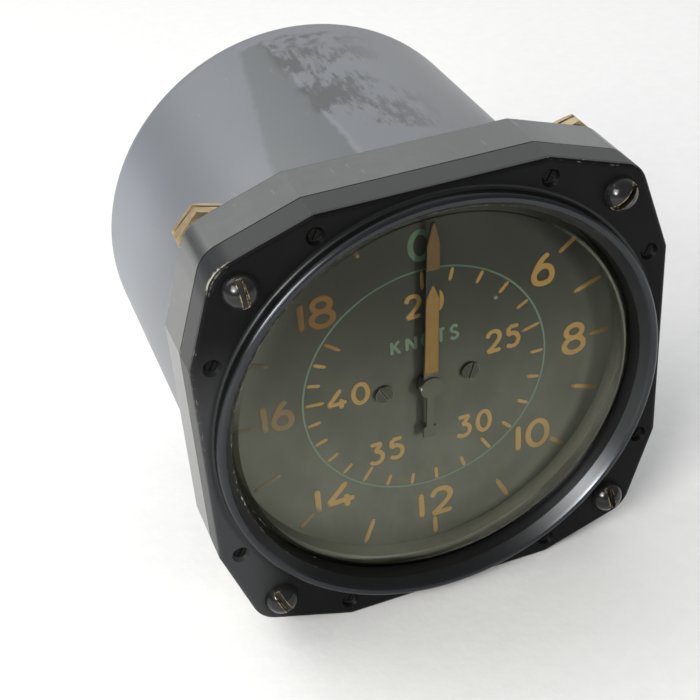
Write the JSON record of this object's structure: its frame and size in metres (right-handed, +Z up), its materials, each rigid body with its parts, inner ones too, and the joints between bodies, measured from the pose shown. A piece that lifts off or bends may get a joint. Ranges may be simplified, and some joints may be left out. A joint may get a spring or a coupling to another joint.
{
  "type": "airspeed indicator",
  "caption": "Round panel airspeed indicator in a flanged case with a raised bezel ring, glass, two-lap dial, pointer and capsule movement with pitot and static unions.",
  "frame": {"origin": "where the dial's axis meets the front face of the bezel plate", "axes": "-Y is where the dial faces, +Z is up on the dial, +X is to the reader's right"},
  "size_m": [0.0816, 0.0938, 0.0816],
  "materials": {
    "case_paint": "satin black paint, worn",
    "bezel_paint": "satin black paint with chipped edges",
    "window_glass": "clear, hazed with age",
    "seal_rubber": "matte",
    "gasket_paper": "matte",
    "inner_black": "matte black",
    "screw_black": "blackened, worn to the metal at the slots",
    "dial_black": "matte black with amber and green marks",
    "pointer_black": "matte black with amber fields",
    "brass": "dull machined brass",
    "steel": "turned",
    "spring_steel": "blued",
    "capsule_bronze": "rolled sheet",
    "frame_metal": "cast",
    "copper_pipe": "drawn",
    "fibre": "red fibre"
  },
  "bodies": {
    "case": {"case": "case_paint", "bezel": "bezel_paint", "glass": "window_glass", "glass_seal": "seal_rubber", "glass_holder": "inner_black", "case_gasket": "gasket_paper", "bezel_screws": "screw_black", "panel_screws": "screw_black", "panel_nuts": "brass", "lock_nuts": "brass", "dial": "dial_black", "dial_screws": "screw_black", "front_plate": "brass", "front_plate_screws": "steel", "pillars": "brass", "back_plate": "brass", "back_plate_screws": "steel", "spindle_front_bush": "brass", "spindle_back_bush": "brass", "rocker_front_bush": "brass", "rocker_back_bush": "brass", "stop_pins": "steel", "movement_frame": "frame_metal", "frame_screws": "steel", "capsule": "capsule_bronze", "capsule_stem": "brass", "capsule_nut": "brass", "hairspring": "spring_steel", "hairspring_stud": "brass", "pitot_union": "brass", "static_union": "brass", "union_washers": "fibre", "union_nuts": "brass", "pitot_pipe": "copper_pipe"},
    "sector": {"sector_gear": "brass", "sector_collet": "brass", "rocking_shaft": "steel", "crank": "brass", "crank_pin": "steel"},
    "link": {"link": "steel"},
    "capsule_head": {"capsule_post": "steel", "post_pin": "steel"},
    "pointer": {"pointer": "pointer_black", "pointer_hub": "pointer_black", "spindle": "steel", "pinion": "steel", "hairspring_collet": "brass"}
  },
  "joints": [
    {"name": "sector_swing", "type": "hinge", "parent": "case", "child": "sector", "pos_m": [-0.00367, 0, 0.02614], "axis": [0, -1, 0], "range_deg": [0, 66.34]},
    {"name": "pointer_turn", "type": "hinge", "parent": "case", "child": "pointer", "pos_m": [0, 0, 0], "axis": [0, 1, 0], "range_deg": [0, 663.5]},
    {"name": "link_pivot", "type": "hinge", "parent": "sector", "child": "link", "pos_m": [-0.00033, 0, 0.02396], "axis": [0, 1, 0], "range_deg": [0, 66.35]},
    {"name": "capsule_rise", "type": "slide", "parent": "case", "child": "capsule_head", "axis": [0, 0, 1], "range_m": [0, 0.00438], "deforming": ["capsule"]}
  ],
  "couplings": [
    {"joint": "pointer_turn", "follows": "sector_swing", "ratio": 10},
    {"joint": "link_pivot", "follows": "sector_swing", "ratio": 1},
    {"joint": "capsule_rise", "follows": "sector_swing", "m_per_rad": 0.0037803}
  ]
}
